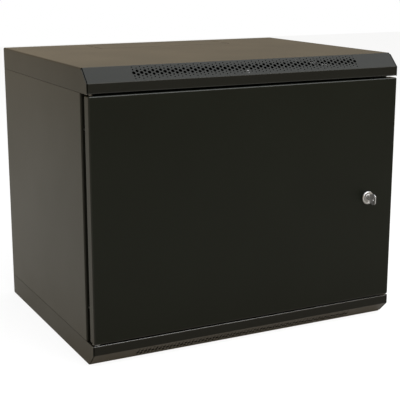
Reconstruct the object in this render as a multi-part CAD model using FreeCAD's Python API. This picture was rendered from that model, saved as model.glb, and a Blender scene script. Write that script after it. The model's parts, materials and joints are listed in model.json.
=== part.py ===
import FreeCAD, Part
import math
import os

os.makedirs("parts", exist_ok=True)
Vector = FreeCAD.Vector

# Wall mount network cabinet, nine rack units high, folded from steel sheet.
# Millimetres. X to the right, Y to the wall, Z up, seen from in front of the door.
# The origin is on the wall plane, at the centre of the four wall fixing slots.

# ---------------------------------------------------------------- driving sizes

# The 19 inch rack pattern.
rack_units = 9
rack_unit_height = 44.45
rack_hole_span = 465.1
rack_hole_edge = 7.55
rack_hole_heights = (6.35, 22.225, 38.1)
rack_hole = 9.5

# The outside of the cabinet.
side_space = 75.0
cabinet_depth = 452.0
bay_margin = 8.975
cover_height = 40.0
chamfer_run = 23.4
chamfer_drop = 23.2

# Sheet thicknesses and bends.
cover_sheet = 1.2
panel_sheet = 1.2
door_sheet = 1.2
post_sheet = 1.5
brace_sheet = 1.5
bracket_sheet = 1.5
stiffener_sheet = 1.0
rail_sheet = 2.0
bend_inside = 1.2

# Clearances.
seam = 0.4
sliding_gap = 0.2
running_gap = 0.08
seat_gap = 0.3
through_gap = 0.3

# Vent field in the chamfers and the cable knock-outs.
vent_columns = 21
vent_pitch = 20.7
vent_rows = 3
vent_row_step = 10.8
vent_first_row = 5.6
vent_hole = 6.6
knockout_width = 280.0
knockout_length = 78.0
knockout_edge = 30.0
knockout_slit = 1.5
knockout_tab = 8.0

# Covers, side panels and back panel.
cover_return = 28.0
panel_setback = 28.6
panel_return = 12.0
back_flange = 15.0
wall_slot_inset_x = 50.0
wall_slot_inset_z = 74.0
wall_slot_width = 10.0
wall_slot_length = 20.0

# Corner posts, depth braces and mounting rails.
post_web = 30.8
post_lip = 13.0
rail_face = 22.0
rail_side = 30.0
rail_end_gap = 2.0
front_rail_setback = 60.0
rear_rail_setback = 60.0
brace_width = 14.8
brace_height = 30.0
brace_drop = 4.0
brace_end_gap = 3.0
rail_travel = 120.0

# Fasteners. Bolts, screws and their holes are six-sided here and sized across the flats.
rail_bolt = 5.2
rail_bolt_flats = 10.0
rail_bolt_head = 4.0
rail_nut_height = 5.0
rail_bolt_tail = 2.0
panel_screw = 3.6
panel_screw_flats = 7.0
panel_screw_head = 2.8
panel_screw_height = 150.0
earth_stud = 6.0
earth_stud_length = 16.0
earth_stud_inset = 66.0
earth_stud_setback = 64.0
earth_stud_rise = 31.2
earth_nut_flats = 10.0
earth_nut_height = 5.0

# Door, hinge pins and buffers.
door_gap = 2.8
door_setback = 1.5
door_proud = 3.0
door_depth = 19.5
door_lip = 12.0
hinge_inset = 8.5
hinge_depth = 12.0
hinge_pin = 6.0
hinge_pin_reach = 5.0
hinge_collar = 10.0
hinge_collar_height = 2.5
hinge_bracket_width = 12.0
upper_bracket_height = 45.0
lower_bracket_height = 25.0
hinge_lever = 28.0
hinge_lever_drop = 10.0
hinge_lever_rod = 5.0
spring_wire = 0.8
spring_turns = 5
spring_sides = 10
washer_diameter = 14.0
stiffener_crest = 40.0
stiffener_height = 12.0
stiffener_foot = 15.0
stiffener_end_gap = 16.0
buffer_diameter = 8.0
buffer_height = 100.0
buffer_inset = 7.5

# Cam lock and key.
lock_inset = 55.7
lock_height = -12.1
bezel_diameter = 24.6
bezel_height = 3.3
bezel_bevel = 1.8
barrel_diameter = 19.0
barrel_length = 21.0
lock_nut_flats = 24.0
lock_nut_height = 4.0
plug_diameter = 14.0
plug_proud = 0.4
plug_tail = 1.8
cam_square = 7.0
cam_sheet = 2.0
cam_width = 16.0
cam_reach = 38.0
cam_tip_round = 3.0
cam_screw = 4.0
cam_screw_head = 11.0
cam_screw_head_height = 3.0
cam_screw_length = 5.0
cam_play = 0.8
strike_left = 18.0
strike_height = 28.0
key_sheet = 2.0
key_blade_height = 7.5
key_blade_depth = 18.5
key_neck = 8.0
key_bow_length = 16.5
key_bow_height = 19.0
key_bow_round = 5.5
key_ring_hole = 4.6
key_cuts = 4
key_cut_depth = 2.0
key_cut_step = 3.6

# ---------------------------------------------------------------- derived places

rack_opening = rack_hole_span - 2 * rack_hole_edge
half_width = rack_opening / 2 + side_space
cover_edge = (rack_units * rack_unit_height + 2 * bay_margin) / 2
half_height = cover_edge + cover_height
front = -cabinet_depth
bend_outside = bend_inside + max(cover_sheet, door_sheet)

crease = front + chamfer_run
panel_front = front + panel_setback
panel_end = cover_edge - seam
post_front = panel_front + panel_sheet
post_back = -panel_sheet
post_edge = half_width - max(cover_sheet, panel_sheet) - bend_inside - sliding_gap
post_end = half_height - cover_sheet

rail_outer = rack_opening / 2 + rail_face
rail_end = cover_edge - rail_end_gap
brace_inner = rail_outer + sliding_gap
post_inner = brace_inner + brace_width
brace_top = cover_edge - brace_drop
brace_centre = brace_top - brace_height / 2
front_rail_face = front + front_rail_setback
rear_rail_face = -rear_rail_setback

door_half_width = half_width - door_setback
door_half_height = cover_edge - door_gap
door_front = front - door_proud
door_back = door_front + door_depth
door_inside = door_front + door_sheet
hinge_x = hinge_inset - door_half_width
hinge_y = door_front + hinge_depth
lock_x = door_half_width - lock_inset

# ---------------------------------------------------------------- shape helpers


def block(x, y, z):
    """A box between two coordinates on each axis."""
    low = Vector(min(x), min(y), min(z))
    high = Vector(max(x), max(y), max(z))
    size = high - low
    return Part.makeBox(size.x, size.y, size.z, low)


def rod(diameter, start, end):
    """A round bar between two points."""
    return Part.makeCylinder(diameter / 2, (end - start).Length, start, end - start)


def prism(corners, direction):
    """A polygon pushed along a direction."""
    return Part.Face(Part.makePolygon(corners + corners[:1])).extrude(direction)


def hexagon(across_flats, start, end):
    """A six-sided bar between two points."""
    turn = FreeCAD.Rotation(Vector(0, 0, 1), end - start)
    radius = across_flats / math.sqrt(3)
    angles = [math.radians(60 * i) for i in range(6)]
    corners = [start + turn.multVec(Vector(radius * math.cos(a), radius * math.sin(a), 0)) for a in angles]
    return prism(corners, end - start)


def on_yz(a, b, x):
    return Vector(x, a, b)


def on_xz(a, b, y):
    return Vector(a, y, b)


def on_xy(a, b, z):
    return Vector(a, b, z)


def heading(start, end):
    """Unit direction from one flat point to another."""
    run = math.dist(start, end)
    return ((end[0] - start[0]) / run, (end[1] - start[1]) / run)


def turns_left(before, corner, after):
    a = heading(before, corner)
    b = heading(corner, after)
    return a[0] * b[1] - a[1] * b[0] > 0


def parallel(points, distance):
    """The line through points, moved to its left by a distance."""
    runs = [heading(a, b) for a, b in zip(points, points[1:])]
    normals = [(-dy, dx) for dx, dy in runs]
    moved = []
    for i, point in enumerate(points):
        before = normals[max(i - 1, 0)]
        after = normals[min(i, len(normals) - 1)]
        scale = distance / (1 + before[0] * after[0] + before[1] * after[1])
        moved.append(tuple(point[k] + scale * (before[k] + after[k]) for k in (0, 1)))
    return moved


def rounded_line(points, radii, place, level):
    """Edges along points, with an arc of its own radius at each inner point."""
    edges = []
    start = points[0]
    for i, radius in enumerate(radii, start=1):
        corner = points[i]
        back = heading(corner, points[i - 1])
        on = heading(corner, points[i + 1])
        half_angle = math.acos(back[0] * on[0] + back[1] * on[1]) / 2
        reach = radius / math.tan(half_angle)
        inward = heading((0, 0), (back[0] + on[0], back[1] + on[1]))
        rise = radius / math.sin(half_angle) - radius
        first = tuple(corner[k] + reach * back[k] for k in (0, 1))
        middle = tuple(corner[k] + rise * inward[k] for k in (0, 1))
        last = tuple(corner[k] + reach * on[k] for k in (0, 1))
        edges.append(Part.makeLine(place(*start, level), place(*first, level)))
        arc = Part.Arc(place(*first, level), place(*middle, level), place(*last, level))
        edges.append(arc.toShape())
        start = last
    edges.append(Part.makeLine(place(*start, level), place(*points[-1], level)))
    return edges


def folded(points, sheet, place, low, high):
    """A folded sheet: its skin runs along points and its thickness lies to their left."""
    inner = parallel(points, sheet)
    lefts = [turns_left(*points[i - 1:i + 2]) for i in range(1, len(points) - 1)]
    skin_radii = [bend_inside + sheet if left else bend_inside for left in lefts]
    inner_radii = [bend_inside if left else bend_inside + sheet for left in lefts]
    edges = rounded_line(points, skin_radii, place, low)
    edges += rounded_line(inner, inner_radii, place, low)
    for k in (0, -1):
        edges.append(Part.makeLine(place(*points[k], low), place(*inner[k], low)))
    section = Part.Face(Part.Wire(Part.__sortEdges__(edges)))
    return section.extrude(place(0, 0, high) - place(0, 0, low))


def fused(*shapes):
    return shapes[0].fuse(list(shapes[1:])).removeSplitter()


def mirrored_x(shape):
    return shape.mirror(Vector(0, 0, 0), Vector(1, 0, 0))


def mirrored_z(shape):
    return shape.mirror(Vector(0, 0, 0), Vector(0, 0, 1))


def slit_runs(a, b):
    """Flat rectangles of the slits round a knock-out, with a tab left in the middle of each side."""
    half_tab = knockout_tab / 2
    runs = []
    for long_side, short_side, swap in ((a, b, False), (b, a, True)):
        middle = sum(long_side) / 2
        for edge, inward in ((short_side[0], 1), (short_side[1], -1)):
            across = (edge, edge + inward * knockout_slit)
            for end, side in ((long_side[0], -1), (long_side[1], 1)):
                along = (end, middle + side * half_tab)
                runs.append((across, along) if swap else (along, across))
    return runs


def save(node, shape):
    solids = shape.Solids
    if not solids or not shape.isValid():
        raise ValueError(node + " is not a sound solid")
    shape.exportStep("parts/" + node + ".step")


# ---------------------------------------------------------------- covers


def vent_cutters():
    """Hexagonal punches, square to the upper chamfer, in staggered rows."""
    top_of_slope = Vector(0, crease, half_height)
    down = Vector(0, -chamfer_run, -chamfer_drop).normalize()
    outward = down.cross(Vector(1, 0, 0)).normalize()
    punch = outward * (3 * cover_sheet)
    cutters = []
    for row in range(vent_rows):
        columns = vent_columns - row % 2
        for column in range(columns):
            across = (column - (columns - 1) / 2) * vent_pitch
            centre = top_of_slope + down * (vent_first_row + row * vent_row_step) + Vector(across, 0, 0)
            cutters.append(hexagon(vent_hole, centre - punch, centre + punch))
    return cutters


def top_cover():
    """A tray folded down on all sides, with a chamfer, a lip and a return at the door."""
    cheek_top = half_height - bend_outside
    skin = [
        (0, cover_edge),
        (0, half_height),
        (crease, half_height),
        (front, half_height - chamfer_drop),
        (front, cover_edge),
        (front + cover_return, cover_edge),
    ]
    fold_end = half_width - cover_sheet - seam
    tray = folded(skin, cover_sheet, on_yz, -fold_end, fold_end)

    crown = [
        (half_width, cover_edge),
        (half_width, half_height),
        (-half_width, half_height),
        (-half_width, cover_edge),
    ]
    crown = folded(crown, cover_sheet, on_xz, -bend_outside, crease + bend_outside)

    slope = chamfer_run / chamfer_drop
    outline = [
        (0, cover_edge),
        (0, cheek_top),
        (crease - slope * bend_outside, cheek_top),
        (front, half_height - chamfer_drop),
        (front, cover_edge),
    ]
    corners = [on_yz(a, b, -half_width) for a, b in outline]
    cheek = prism(corners, Vector(cover_sheet, 0, 0))

    above = (half_height - 3 * cover_sheet, half_height + cover_sheet)
    slit_x = (-knockout_width / 2, knockout_width / 2)
    slit_y = (-knockout_edge - knockout_length, -knockout_edge)
    cutters = vent_cutters()
    cutters += [block(a, b, above) for a, b in slit_runs(slit_x, slit_y)]
    pin_hole = hinge_pin + 2 * running_gap
    low = Vector(hinge_x, hinge_y, cover_edge - cover_sheet)
    cutters.append(rod(pin_hole, low, low + Vector(0, 0, 3 * cover_sheet)))
    return fused(tray, crown, cheek, mirrored_x(cheek)).cut(cutters)


# ---------------------------------------------------------------- body panels


def screw_places(side):
    """Centres of the panel screws of one side, as (x, z)."""
    x = side * (half_width - (panel_return + panel_sheet) / 2)
    return [(x, z) for z in (-panel_screw_height, panel_screw_height)]


def panel_holes(side, across, y):
    """Punches for the screws through a return or a post flange."""
    return [hexagon(across, Vector(x, min(y), z), Vector(x, max(y), z)) for x, z in screw_places(side)]


def left_side_panel():
    """A flat side with a return at the door and one at the wall."""
    inner_edge = panel_return - half_width
    skin = [(inner_edge, 0), (-half_width, 0), (-half_width, panel_front), (inner_edge, panel_front)]
    panel = folded(skin, panel_sheet, on_xy, -panel_end, panel_end)
    thread = panel_screw + 2 * running_gap
    drills = panel_holes(-1, thread, (panel_front - panel_sheet, panel_front + 2 * panel_sheet))
    drills += panel_holes(-1, thread, (-2 * panel_sheet, panel_sheet))
    return panel.cut(drills)


def back_panel():
    """The plate that takes the wall bolts, with a stiffening fold at its top and foot."""
    plate_edge = half_width - panel_return - seam
    fold_edge = post_inner - post_sheet - seam
    plate = block((-plate_edge, plate_edge), (-panel_sheet, 0), (bend_outside - panel_end, panel_end - bend_outside))
    skin = [(-back_flange, -panel_end), (0, -panel_end), (0, panel_end), (-back_flange, panel_end)]
    pan = folded(skin, panel_sheet, on_yz, -fold_edge, fold_edge)
    cutters = []
    straight = (wall_slot_length - wall_slot_width) / 2
    through = (-2 * panel_sheet, panel_sheet)
    slot_x = half_width - wall_slot_inset_x
    slot_z = half_height - wall_slot_inset_z
    for x in (-slot_x, slot_x):
        for z in (-slot_z, slot_z):
            middle = block((x - straight, x + straight), through, (z - wall_slot_width / 2, z + wall_slot_width / 2))
            ends = [
                rod(wall_slot_width, Vector(x + d, through[0], z), Vector(x + d, through[1], z))
                for d in (-straight, straight)
            ]
            cutters.append(fused(middle, *ends))
    return fused(plate, pan).cut(cutters)


# ---------------------------------------------------------------- frame


def front_left_post():
    skin = [
        (-post_edge, post_front),
        (-post_inner, post_front),
        (-post_inner, post_front + post_web),
        (-post_inner - post_lip, post_front + post_web),
    ]
    post = folded(skin, post_sheet, on_xy, -post_end, post_end)
    reach = (post_front - post_sheet, post_front + 2 * post_sheet)
    return post.cut(panel_holes(-1, panel_screw + 2 * through_gap, reach))


def rear_left_post():
    skin = [
        (-post_inner - post_lip, post_back - post_web),
        (-post_inner, post_back - post_web),
        (-post_inner, post_back),
        (-post_edge, post_back),
    ]
    post = folded(skin, post_sheet, on_xy, -post_end, post_end)
    reach = (post_back - 2 * post_sheet, post_back + post_sheet)
    cutters = panel_holes(-1, panel_screw + 2 * through_gap, reach)
    relief = bend_inside + sliding_gap
    for z in (-post_end, post_end):
        cutters.append(block((-half_width, -post_inner), (post_back - relief, 0), (z - relief, z + relief)))
    return post.cut(cutters)


front_bolt_y = front_rail_face + rail_side / 2
rear_bolt_y = rear_rail_face - rail_side / 2


def upper_left_brace():
    """A channel from front to rear post, with a slot for each mounting rail's bolt."""
    foot = brace_top - brace_height
    skin = [
        (-post_inner, foot),
        (-brace_inner, foot),
        (-brace_inner, brace_top),
        (-post_inner, brace_top),
    ]
    brace = folded(skin, brace_sheet, on_xz, post_front + brace_end_gap, post_back - brace_end_gap)
    web = (-brace_inner - 2 * brace_sheet, -brace_inner + brace_sheet)
    half = rail_bolt / math.sqrt(3) + through_gap
    rise = (brace_centre - half, brace_centre + half)
    front_slot = (front_bolt_y - half, front_bolt_y + rail_travel + half)
    rear_slot = (rear_bolt_y - rail_travel - half, rear_bolt_y + half)
    return brace.cut([block(web, run, rise) for run in (front_slot, rear_slot)])


# ---------------------------------------------------------------- mounting rails


def left_rail(face, inward):
    """An angle with square holes in its face; inward is the way its side runs along Y."""
    skin = [(-rail_outer, face + inward * rail_side), (-rail_outer, face), (-rack_opening / 2, face)]
    if inward < 0:
        skin.reverse()
    rail = folded(skin, rail_sheet, on_xy, -rail_end, rail_end)
    half = rack_hole / 2
    x = -rack_hole_span / 2
    through = (face - inward * rail_sheet, face + inward * 2 * rail_sheet)
    foot = -rack_units * rack_unit_height / 2
    cutters = []
    for unit in range(rack_units):
        for height in rack_hole_heights:
            z = foot + unit * rack_unit_height + height
            cutters.append(block((x - half, x + half), through, (z - half, z + half)))
    bolt_y = face + inward * rail_side / 2
    for z in (-brace_centre, brace_centre):
        start = Vector(-rail_outer - rail_sheet, bolt_y, z)
        cutters.append(hexagon(rail_bolt + 2 * through_gap, start, start + Vector(3 * rail_sheet, 0, 0)))
    return rail.cut(cutters)


def left_rail_bolts(bolt_y):
    """Two bolts through the rail's side and the brace's slot, with their nuts run down."""
    head_face = rail_sheet - rail_outer
    nut_face = -brace_inner - brace_sheet
    tail = nut_face - rail_nut_height - rail_bolt_tail
    bolts = []
    for z in (-brace_centre, brace_centre):
        seat = Vector(head_face, bolt_y, z)
        head = hexagon(rail_bolt_flats, seat, seat + Vector(rail_bolt_head, 0, 0))
        shank = hexagon(rail_bolt, Vector(tail, bolt_y, z), seat)
        nut_seat = Vector(nut_face, bolt_y, z)
        nut = hexagon(rail_bolt_flats, nut_seat - Vector(rail_nut_height, 0, 0), nut_seat)
        bolts.append(fused(head, shank, nut))
    return Part.makeCompound(bolts)


def panel_screws():
    """Screws that hold the side panels' returns to the posts, heads inside the cabinet."""
    screws = []
    for side in (-1, 1):
        for x, z in screw_places(side):
            for skin, seat, inward in ((panel_front, post_front + post_sheet, 1), (0, post_back - post_sheet, -1)):
                head = hexagon(panel_screw_flats, Vector(x, seat, z), Vector(x, seat + inward * panel_screw_head, z))
                screws.append(fused(head, hexagon(panel_screw, Vector(x, skin, z), Vector(x, seat, z))))
    return Part.makeCompound(screws)


# ---------------------------------------------------------------- door


def front_door():
    """A pan folded on four sides, its two upright sides folded again into a lip."""
    lip = door_half_width - door_lip
    skin = [
        (-lip, door_back),
        (-door_half_width, door_back),
        (-door_half_width, door_front),
        (door_half_width, door_front),
        (door_half_width, door_back),
        (lip, door_back),
    ]
    straight = door_half_height - bend_outside
    sides = folded(skin, door_sheet, on_xy, -straight, straight)

    skin = [
        (door_back, door_half_height),
        (door_front, door_half_height),
        (door_front, -door_half_height),
        (door_back, -door_half_height),
    ]
    fold_end = door_half_width - door_sheet - seam
    ends = folded(skin, door_sheet, on_yz, -fold_end, fold_end)

    return_skin = [
        (-lip, door_back),
        (-door_half_width, door_back),
        (-door_half_width, door_front + bend_outside),
    ]
    clear_end = door_half_height - door_sheet - seam
    edge = folded(return_skin, door_sheet, on_xy, -clear_end, clear_end)
    rim = block(
        (-door_half_width, door_sheet - door_half_width),
        (door_front + bend_outside, door_back - bend_outside),
        (-door_half_height, door_half_height),
    )
    pan = fused(sides, ends, edge, mirrored_x(edge), rim, mirrored_x(rim))

    past = 3 * door_sheet
    cutters = [rod(barrel_diameter + 2 * through_gap, lock_point(past), lock_point(-past))]
    for z in (-door_half_height, door_half_height):
        hole = hinge_pin + 2 * running_gap
        cutters.append(rod(hole, Vector(hinge_x, hinge_y, z - past), Vector(hinge_x, hinge_y, z + past)))
    return pan.cut(cutters)


def lock_point(forward):
    """A point on the lock's axis, a distance in front of the door."""
    return Vector(lock_x, door_front - forward, lock_height)


def door_stiffener():
    """A hat section up the middle of the door's inside."""
    crest = stiffener_crest / 2
    foot = crest + stiffener_foot
    skin = [
        (-foot, door_inside),
        (-crest, door_inside),
        (-crest, door_inside + stiffener_height),
        (crest, door_inside + stiffener_height),
        (crest, door_inside),
        (foot, door_inside),
    ]
    end = door_half_height - stiffener_end_gap
    return folded(skin, stiffener_sheet, on_xy, -end, end)


def hinge_bracket(low, high):
    """A clip in the door's corner that guides a hinge pin with its two flanges."""
    reach = door_back - door_sheet - seat_gap
    skin = [(reach, high), (door_inside, high), (door_inside, low), (reach, low)]
    half = hinge_bracket_width / 2
    clip = folded(skin, bracket_sheet, on_yz, hinge_x - half, hinge_x + half)
    past = Vector(0, 0, bracket_sheet)
    hole = hinge_pin + 2 * running_gap
    return clip.cut(rod(hole, hinge_point(low) - past, hinge_point(high) + past))


def hinge_point(z):
    return Vector(hinge_x, hinge_y, z)


upper_bracket_top = door_half_height - door_sheet
upper_bracket_foot = upper_bracket_top - upper_bracket_height
lower_bracket_foot = door_sheet - door_half_height
lower_bracket_top = lower_bracket_foot + lower_bracket_height
collar_top = upper_bracket_top - bracket_sheet - seat_gap
spring_seat = upper_bracket_foot + bracket_sheet
spring_top = collar_top - hinge_collar_height


def upper_hinge_pin():
    """The sprung pin: a collar for the spring and a lever to draw it down."""
    tip = cover_edge + cover_sheet + hinge_pin_reach
    lever_z = upper_bracket_foot - hinge_lever_drop
    shank = rod(hinge_pin, hinge_point(lever_z - hinge_lever_rod / 2), hinge_point(tip))
    collar = rod(hinge_collar, hinge_point(spring_top), hinge_point(collar_top))
    lever = rod(hinge_lever_rod, hinge_point(lever_z), hinge_point(lever_z) + Vector(hinge_lever, 0, 0))
    return fused(shank, collar, lever)


def hinge_pin_spring():
    """A coil of square wire, in short straight steps, between the bracket's lower flange and the collar."""
    radius = (hinge_collar + hinge_pin) / 4 + spring_wire / 4
    half = spring_wire / 2
    rise = spring_top - spring_seat - 2 * spring_wire
    steps = spring_turns * spring_sides
    path = []
    for step in range(steps + 1):
        angle = 2 * math.pi * step / spring_sides
        level = spring_seat + spring_wire + rise * step / steps
        path.append(hinge_point(level) + Vector(radius * math.cos(angle), radius * math.sin(angle), 0))
    corners = [(-half, -half), (half, -half), (half, half), (-half, half), (-half, -half)]
    section = Part.makePolygon([path[0] + Vector(a, 0, b) for a, b in corners])
    sweep = Part.BRepOffsetAPI.MakePipeShell(Part.makePolygon(path))
    sweep.setTransitionMode(1)
    sweep.add(section)
    sweep.build()
    sweep.makeSolid()
    return sweep.shape()


def lower_hinge_pin():
    """The fixed pin that carries the door, hung by its head in the lower bracket."""
    tip = -cover_edge - cover_sheet - hinge_pin_reach
    head = rod(hinge_collar, hinge_point(lower_bracket_top), hinge_point(lower_bracket_top + hinge_collar_height))
    return fused(head, rod(hinge_pin, hinge_point(tip), hinge_point(lower_bracket_top)))


def hinge_washer():
    """The bearing ring under the door, a seat gap above the bottom cover."""
    low = seat_gap - cover_edge
    ring = rod(washer_diameter, hinge_point(low), hinge_point(-door_half_height))
    bore = rod(hinge_pin + 2 * running_gap, hinge_point(low), hinge_point(-door_half_height))
    return ring.cut(bore)


def door_buffers():
    """Rubber studs on the right-hand return, where the closed door's lip comes to rest."""
    x = half_width - buffer_inset
    buffers = [
        rod(buffer_diameter, Vector(x, panel_front, z), Vector(x, door_back + seat_gap, z))
        for z in (-buffer_height, buffer_height)
    ]
    return Part.makeCompound(buffers)


# ---------------------------------------------------------------- lock and key

barrel_back = -barrel_length
plug_back = barrel_back - plug_tail
cam_back = plug_back - cam_sheet


def lock_body():
    """The bezel and the barrel that goes through the door, bored for the plug."""
    bore = plug_diameter / 2 + running_gap
    barrel = barrel_diameter / 2
    rim = bezel_diameter / 2

    def at(radius, forward):
        return lock_point(forward) + Vector(radius, 0, 0)

    outline = [
        at(bore, barrel_back),
        at(barrel, barrel_back),
        at(barrel, 0),
        at(rim, 0),
        at(rim, bezel_height - bezel_bevel),
        at(rim - bezel_bevel, bezel_height),
        at(bore, bezel_height),
    ]
    section = Part.Face(Part.makePolygon(outline + outline[:1]))
    return section.revolve(lock_point(0), Vector(0, 1, 0), 360)


def lock_nut():
    nut = hexagon(lock_nut_flats, lock_point(-door_sheet), lock_point(-door_sheet - lock_nut_height))
    bore = rod(barrel_diameter + 2 * running_gap, lock_point(0), lock_point(barrel_back))
    return nut.cut(bore)


def keyway(clearance, depth):
    """The flat space of the key's blade, from in front of the lock to a depth."""
    x = key_sheet / 2 + clearance
    z = key_blade_height / 2 + clearance
    y = (door_front - key_neck, door_front + depth)
    return block((lock_x - x, lock_x + x), y, (lock_height - z, lock_height + z))


def lock_plug():
    """The turning core: keyway in front, square for the cam behind."""
    core = rod(plug_diameter, lock_point(bezel_height + plug_proud), lock_point(plug_back))
    half = cam_square / 2
    square = block(
        (lock_x - half, lock_x + half),
        (door_front - plug_back, door_front - cam_back),
        (lock_height - half, lock_height + half),
    )
    bore = cam_screw + 2 * running_gap
    hole = hexagon(bore, lock_point(cam_back), lock_point(cam_back + cam_screw_length))
    return fused(core, square).cut([keyway(running_gap, key_blade_depth - 2 * bezel_height), hole])


def lock_cam():
    """The flat tongue, hanging down when unlocked, that turns behind the strike."""
    low = lock_point(plug_back)
    high = lock_point(cam_back)
    hub = rod(cam_width, low, high)
    tongue = block(
        (lock_x - cam_width / 2, lock_x + cam_width / 2),
        (low.y, high.y),
        (lock_height - cam_reach, lock_height),
    )
    tip = [e for e in tongue.Edges if e.Length < 1.01 * cam_sheet and e.CenterOfMass.z < lock_height - cam_sheet]
    tongue = tongue.makeFillet(cam_tip_round, tip)
    half = cam_square / 2 + running_gap
    square = block((lock_x - half, lock_x + half), (low.y, high.y), (lock_height - half, lock_height + half))
    return fused(hub, tongue).cut(square)


def cam_fixing_screw():
    head = hexagon(cam_screw_head, lock_point(cam_back), lock_point(cam_back - cam_screw_head_height))
    shank = hexagon(cam_screw, lock_point(cam_back), lock_point(cam_back + cam_screw_length - running_gap))
    return fused(head, shank)


def lock_strike():
    """A channel on the right post that the cam turns into."""
    plate_back = door_front - plug_back - cam_play
    plate_front = plate_back - bracket_sheet
    left = lock_x + strike_left
    right = half_width - panel_return - seam
    skin = [(left, plate_front), (right, plate_front), (right, post_front), (left, post_front)]
    half = strike_height / 2
    return folded(skin, bracket_sheet, on_xy, lock_height - half, lock_height + half)


def lock_key():
    """A flat key: notched blade in the keyway and a rounded bow with a ring hole."""
    blade = keyway(0, key_blade_depth - 2 * bezel_height - seat_gap)
    half = key_sheet / 2
    bow_y = (door_front - key_neck, door_front - key_neck - key_bow_length)
    half_bow = key_bow_height / 2
    bow = block((lock_x - half, lock_x + half), bow_y, (lock_height - half_bow, lock_height + half_bow))
    corners = [e for e in bow.Edges if e.Length < 1.01 * key_sheet]
    bow = bow.makeFillet(key_bow_round, corners)
    ring = lock_point(key_neck + key_bow_length - key_ring_hole)
    across = Vector(key_sheet, 0, 0)
    cutters = [rod(key_ring_hole, ring - across, ring + across)]
    edge = lock_height - key_blade_height / 2
    for cut in range(key_cuts):
        y = door_front + key_cut_step * (cut - 1)
        corners = [
            Vector(lock_x - key_sheet, y - key_cut_depth, edge),
            Vector(lock_x - key_sheet, y + key_cut_depth, edge),
            Vector(lock_x - key_sheet, y, edge + key_cut_depth),
        ]
        cutters.append(prism(corners, across * 2))
    return fused(blade, bow).cut(cutters)


# ---------------------------------------------------------------- earthing


def stud_and_nut(foot, along):
    """A welded earth stud and the nut run down onto the sheet."""
    direction = Vector(along)
    stud = rod(earth_stud, foot, foot + direction * earth_stud_length)
    nut = hexagon(earth_nut_flats, foot, foot + direction * earth_nut_height)
    bore = rod(earth_stud + 2 * running_gap, foot, foot + direction * earth_nut_height)
    return stud, nut.cut(bore)


stud_x = earth_stud_inset - half_width
body_stud_foot = Vector(stud_x, front + earth_stud_setback, cover_sheet - half_height)
door_stud_foot = Vector(stud_x, door_inside, earth_stud_rise - door_half_height)
body_stud, body_nut = stud_and_nut(body_stud_foot, (0, 0, 1))
door_stud, door_nut = stud_and_nut(door_stud_foot, (0, 1, 0))

# ---------------------------------------------------------------- the pieces

cover = top_cover()
side_panel = left_side_panel()
front_post = front_left_post()
rear_post = rear_left_post()
brace = upper_left_brace()
front_rail = left_rail(front_rail_face, 1)
rear_rail = left_rail(rear_rail_face, -1)
front_bolts = left_rail_bolts(front_bolt_y)
rear_bolts = left_rail_bolts(rear_bolt_y)

pieces = {
    "top_cover": cover,
    "bottom_cover": mirrored_z(cover),
    "left_side_panel": side_panel,
    "right_side_panel": mirrored_x(side_panel),
    "back_panel": back_panel(),
    "front_left_post": front_post,
    "front_right_post": mirrored_x(front_post),
    "rear_left_post": rear_post,
    "rear_right_post": mirrored_x(rear_post),
    "upper_left_brace": brace,
    "upper_right_brace": mirrored_x(brace),
    "lower_left_brace": mirrored_z(brace),
    "lower_right_brace": mirrored_x(mirrored_z(brace)),
    "front_left_rail": front_rail,
    "front_right_rail": mirrored_x(front_rail),
    "rear_left_rail": rear_rail,
    "rear_right_rail": mirrored_x(rear_rail),
    "front_left_rail_bolts": front_bolts,
    "front_right_rail_bolts": mirrored_x(front_bolts),
    "rear_left_rail_bolts": rear_bolts,
    "rear_right_rail_bolts": mirrored_x(rear_bolts),
    "side_panel_screws": panel_screws(),
    "lock_strike": lock_strike(),
    "door_buffers": door_buffers(),
    "earth_stud": body_stud,
    "earth_nut": body_nut,
    "front_door": front_door(),
    "door_stiffener": door_stiffener(),
    "upper_hinge_bracket": hinge_bracket(upper_bracket_foot, upper_bracket_top),
    "lower_hinge_bracket": hinge_bracket(lower_bracket_foot, lower_bracket_top),
    "upper_hinge_pin": upper_hinge_pin(),
    "hinge_pin_spring": hinge_pin_spring(),
    "lower_hinge_pin": lower_hinge_pin(),
    "hinge_washer": hinge_washer(),
    "lock_body": lock_body(),
    "lock_nut": lock_nut(),
    "lock_plug": lock_plug(),
    "lock_cam": lock_cam(),
    "cam_screw": cam_fixing_screw(),
    "lock_key": lock_key(),
    "door_earth_stud": door_stud,
    "door_earth_nut": door_nut,
}
for node, shape in pieces.items():
    save(node, shape)
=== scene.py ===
# %% [markdown]
# # A wall mount network cabinet, folded from black sheet steel
#
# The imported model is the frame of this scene: it holds every piece at its real size, in metres, with Z up.
# Nothing here moves or resizes it. Some of its pieces keep their own mesh and get a finish, and the ones that
# the eye meets first are made again in finer detail, in the same place: the perforated covers, the door, the
# side panels, the lock and its key, the spring and the small fasteners.

import json
import math

import bmesh
import bpy
from mathutils import Matrix, Vector


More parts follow.
